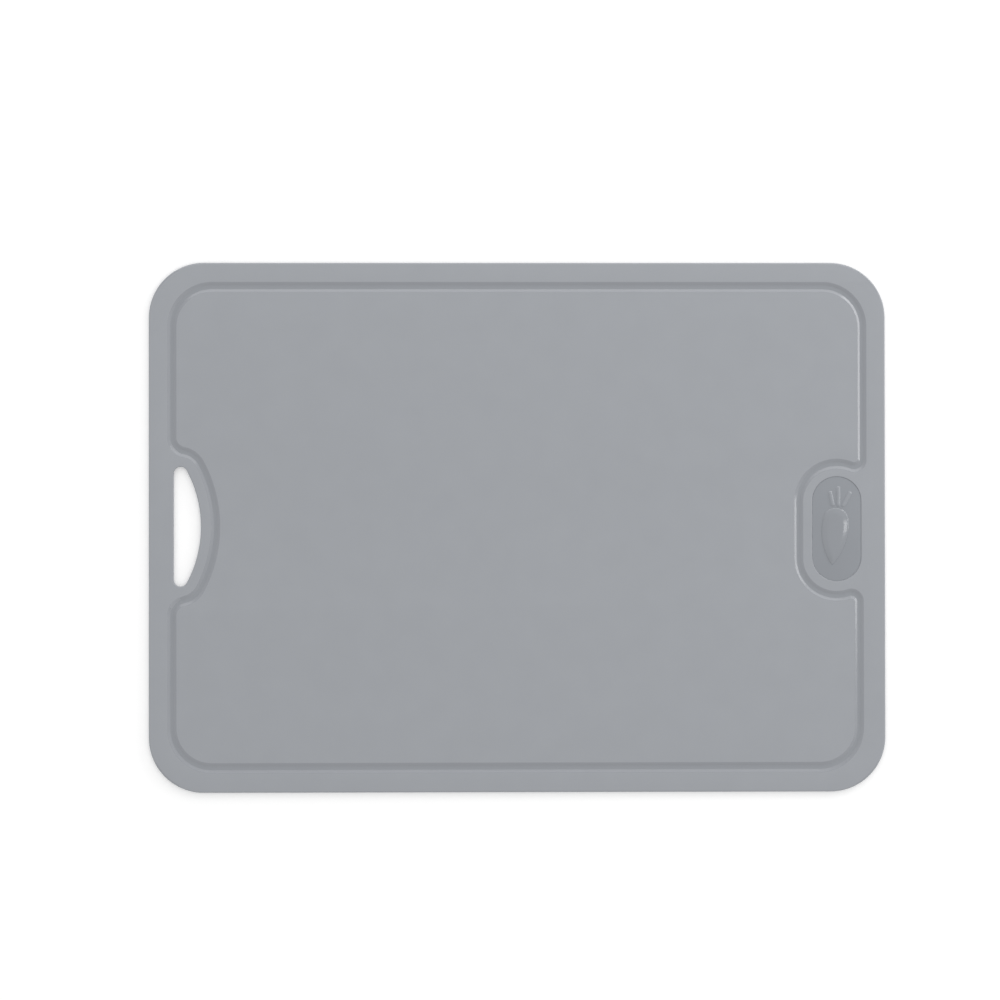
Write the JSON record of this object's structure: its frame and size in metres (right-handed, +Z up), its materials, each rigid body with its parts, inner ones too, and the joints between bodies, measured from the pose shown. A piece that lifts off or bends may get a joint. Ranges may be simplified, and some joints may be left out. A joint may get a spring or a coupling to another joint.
{
  "type": "flexible cutting mat",
  "caption": "Thin rounded cutting mat with a juice groove, a D-shaped hand hole and an oval carrot badge; its long sides curl up into a trough.",
  "frame": {"origin": "middle of the mat's underside, on the surface that the mat lies on", "axes": "+X along the long side from the hand hole to the badge, +Y from the front to the rear, +Z up out of the work surface"},
  "size_m": [0.37, 0.266, 0.0022],
  "materials": {
    "sheet": "fine matt moulded texture on the field and rim, polished floor in the groove",
    "backing": "matt soft rubbery underside with small raised grip dots",
    "badge": "smooth semi-gloss oval with a raised carrot"
  },
  "bodies": {
    "centre": {"cutting_sheet_centre": "sheet", "grip_backing_centre": "backing", "carrot_badge": "badge"},
    "front_strip_1": {"cutting_sheet_front_1": "sheet", "grip_backing_front_1": "backing"},
    "front_strip_2": {"cutting_sheet_front_2": "sheet", "grip_backing_front_2": "backing"},
    "front_strip_3": {"cutting_sheet_front_3": "sheet", "grip_backing_front_3": "backing"},
    "front_strip_4": {"cutting_sheet_front_4": "sheet", "grip_backing_front_4": "backing"},
    "front_strip_5": {"cutting_sheet_front_5": "sheet", "grip_backing_front_5": "backing"},
    "front_strip_6": {"cutting_sheet_front_6": "sheet", "grip_backing_front_6": "backing"},
    "rear_strip_1": {"cutting_sheet_rear_1": "sheet", "grip_backing_rear_1": "backing"},
    "rear_strip_2": {"cutting_sheet_rear_2": "sheet", "grip_backing_rear_2": "backing"},
    "rear_strip_3": {"cutting_sheet_rear_3": "sheet", "grip_backing_rear_3": "backing"},
    "rear_strip_4": {"cutting_sheet_rear_4": "sheet", "grip_backing_rear_4": "backing"},
    "rear_strip_5": {"cutting_sheet_rear_5": "sheet", "grip_backing_rear_5": "backing"},
    "rear_strip_6": {"cutting_sheet_rear_6": "sheet", "grip_backing_rear_6": "backing"}
  },
  "joints": [
    {"name": "front_curl_1", "type": "hinge", "parent": "centre", "child": "front_strip_1", "pos_m": [0, -0.051, 0.0022], "axis": [-1, 0, 0], "range_deg": [0, 13], "stiffness_Nm_per_rad": 2},
    {"name": "front_curl_2", "type": "hinge", "parent": "front_strip_1", "child": "front_strip_2", "pos_m": [0, -0.063, 0.0022], "axis": [-1, 0, 0], "range_deg": [0, 13], "stiffness_Nm_per_rad": 2},
    {"name": "front_curl_3", "type": "hinge", "parent": "front_strip_2", "child": "front_strip_3", "pos_m": [0, -0.075, 0.0022], "axis": [-1, 0, 0], "range_deg": [0, 13], "stiffness_Nm_per_rad": 2},
    {"name": "front_curl_4", "type": "hinge", "parent": "front_strip_3", "child": "front_strip_4", "pos_m": [0, -0.087, 0.0022], "axis": [-1, 0, 0], "range_deg": [0, 13], "stiffness_Nm_per_rad": 2},
    {"name": "front_curl_5", "type": "hinge", "parent": "front_strip_4", "child": "front_strip_5", "pos_m": [0, -0.099, 0.0022], "axis": [-1, 0, 0], "range_deg": [0, 13], "stiffness_Nm_per_rad": 2},
    {"name": "front_curl_6", "type": "hinge", "parent": "front_strip_5", "child": "front_strip_6", "pos_m": [0, -0.111, 0.0022], "axis": [-1, 0, 0], "range_deg": [0, 13], "stiffness_Nm_per_rad": 2},
    {"name": "rear_curl_1", "type": "hinge", "parent": "centre", "child": "rear_strip_1", "pos_m": [0, 0.051, 0.0022], "axis": [1, 0, 0], "range_deg": [0, 13], "stiffness_Nm_per_rad": 2},
    {"name": "rear_curl_2", "type": "hinge", "parent": "rear_strip_1", "child": "rear_strip_2", "pos_m": [0, 0.063, 0.0022], "axis": [1, 0, 0], "range_deg": [0, 13], "stiffness_Nm_per_rad": 2},
    {"name": "rear_curl_3", "type": "hinge", "parent": "rear_strip_2", "child": "rear_strip_3", "pos_m": [0, 0.075, 0.0022], "axis": [1, 0, 0], "range_deg": [0, 13], "stiffness_Nm_per_rad": 2},
    {"name": "rear_curl_4", "type": "hinge", "parent": "rear_strip_3", "child": "rear_strip_4", "pos_m": [0, 0.087, 0.0022], "axis": [1, 0, 0], "range_deg": [0, 13], "stiffness_Nm_per_rad": 2},
    {"name": "rear_curl_5", "type": "hinge", "parent": "rear_strip_4", "child": "rear_strip_5", "pos_m": [0, 0.099, 0.0022], "axis": [1, 0, 0], "range_deg": [0, 13], "stiffness_Nm_per_rad": 2},
    {"name": "rear_curl_6", "type": "hinge", "parent": "rear_strip_5", "child": "rear_strip_6", "pos_m": [0, 0.111, 0.0022], "axis": [1, 0, 0], "range_deg": [0, 13], "stiffness_Nm_per_rad": 2}
  ],
  "couplings": [
    {"joint": "front_curl_2", "follows": "front_curl_1", "ratio": 1},
    {"joint": "front_curl_3", "follows": "front_curl_1", "ratio": 1},
    {"joint": "front_curl_4", "follows": "front_curl_1", "ratio": 1},
    {"joint": "front_curl_5", "follows": "front_curl_1", "ratio": 1},
    {"joint": "front_curl_6", "follows": "front_curl_1", "ratio": 1},
    {"joint": "rear_curl_2", "follows": "rear_curl_1", "ratio": 1},
    {"joint": "rear_curl_3", "follows": "rear_curl_1", "ratio": 1},
    {"joint": "rear_curl_4", "follows": "rear_curl_1", "ratio": 1},
    {"joint": "rear_curl_5", "follows": "rear_curl_1", "ratio": 1},
    {"joint": "rear_curl_6", "follows": "rear_curl_1", "ratio": 1}
  ]
}
